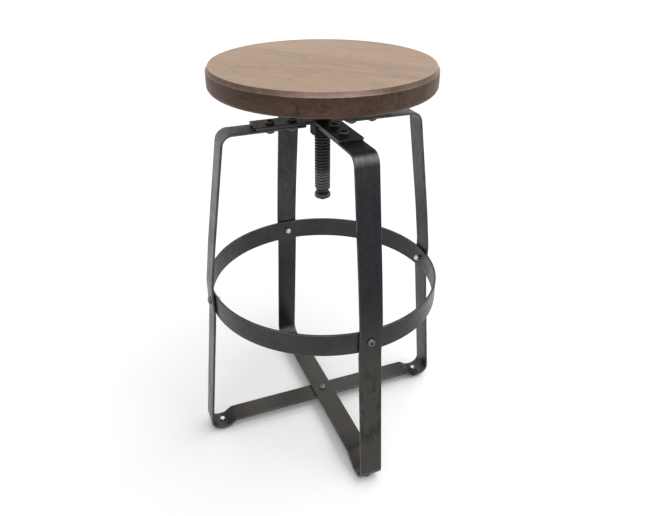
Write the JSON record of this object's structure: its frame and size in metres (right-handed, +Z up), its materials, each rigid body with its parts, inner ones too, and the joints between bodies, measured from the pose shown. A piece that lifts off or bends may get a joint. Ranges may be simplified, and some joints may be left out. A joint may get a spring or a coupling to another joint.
{
  "type": "backless stool",
  "caption": "Backless stool: round wooden seat on a lifting screw, carried by crossed bent flat-bar steel frames with a foot ring and floor glides.",
  "frame": {"origin": "on the floor, under the lifting screw's axis, at the middle of the four feet", "axes": "+Z up along the screw; +X towards the right leg, -X towards the left leg, -Y towards the front leg; the frame whose cross strap lies on top runs along Y"},
  "size_m": [0.4628, 0.4628, 0.6729],
  "materials": {
    "seat_wood": "oiled, satin",
    "frame_steel": "dark gunmetal, satin, worn edges",
    "screw_steel": "blackened, oiled",
    "bolt_steel": "black oxide",
    "bright_steel": "zinc plated",
    "glide_nylon": "matt black"
  },
  "bodies": {
    "base": {"hub_plate": "frame_steel", "hub_nut": "screw_steel", "frame_x": "frame_steel", "frame_y": "frame_steel", "foot_ring": "frame_steel", "hub_bolt_left_inner": "bolt_steel", "hub_bolt_left_outer": "bolt_steel", "hub_bolt_right_inner": "bolt_steel", "hub_bolt_right_outer": "bolt_steel", "hub_bolt_front_inner": "bolt_steel", "hub_bolt_front_outer": "bolt_steel", "hub_bolt_rear_inner": "bolt_steel", "hub_bolt_rear_outer": "bolt_steel", "hub_bolt_nut_left_inner": "bolt_steel", "hub_bolt_nut_left_outer": "bolt_steel", "hub_bolt_nut_right_inner": "bolt_steel", "hub_bolt_nut_right_outer": "bolt_steel", "hub_bolt_nut_front_inner": "bolt_steel", "hub_bolt_nut_front_outer": "bolt_steel", "hub_bolt_nut_rear_inner": "bolt_steel", "hub_bolt_nut_rear_outer": "bolt_steel", "ring_bolt_left": "bolt_steel", "ring_bolt_right": "bolt_steel", "ring_bolt_front": "bolt_steel", "ring_bolt_rear": "bolt_steel", "ring_nut_left": "bright_steel", "ring_nut_right": "bright_steel", "ring_nut_front": "bright_steel", "ring_nut_rear": "bright_steel", "centre_bolt": "bolt_steel", "centre_nut": "bolt_steel", "glide_left": "glide_nylon", "glide_right": "glide_nylon", "glide_front": "glide_nylon", "glide_rear": "glide_nylon", "glide_screw_left": "bright_steel", "glide_screw_right": "bright_steel", "glide_screw_front": "bright_steel", "glide_screw_rear": "bright_steel", "glide_nut_left": "bright_steel", "glide_nut_right": "bright_steel", "glide_nut_front": "bright_steel", "glide_nut_rear": "bright_steel"},
    "end_stop": {"stop_cap": "screw_steel"},
    "seat_group": {"seat": "seat_wood", "seat_plate": "frame_steel", "seat_screw_1": "bright_steel", "seat_screw_2": "bright_steel", "seat_screw_3": "bright_steel", "seat_screw_4": "bright_steel", "screw_rod": "screw_steel", "stop_screw": "bolt_steel"}
  },
  "joints": [
    {"name": "seat_rise", "type": "slide", "parent": "base", "child": "end_stop", "axis": [0, 0, 1], "range_m": [-0.03, 0.101]},
    {"name": "seat_turn", "type": "hinge", "parent": "end_stop", "child": "seat_group", "pos_m": [0, 0, 0.55], "axis": [0, 0, 1], "range_deg": [-2160, 7272]}
  ],
  "couplings": [
    {"joint": "seat_rise", "follows": "seat_turn", "m_per_rad": 0.00079577}
  ]
}
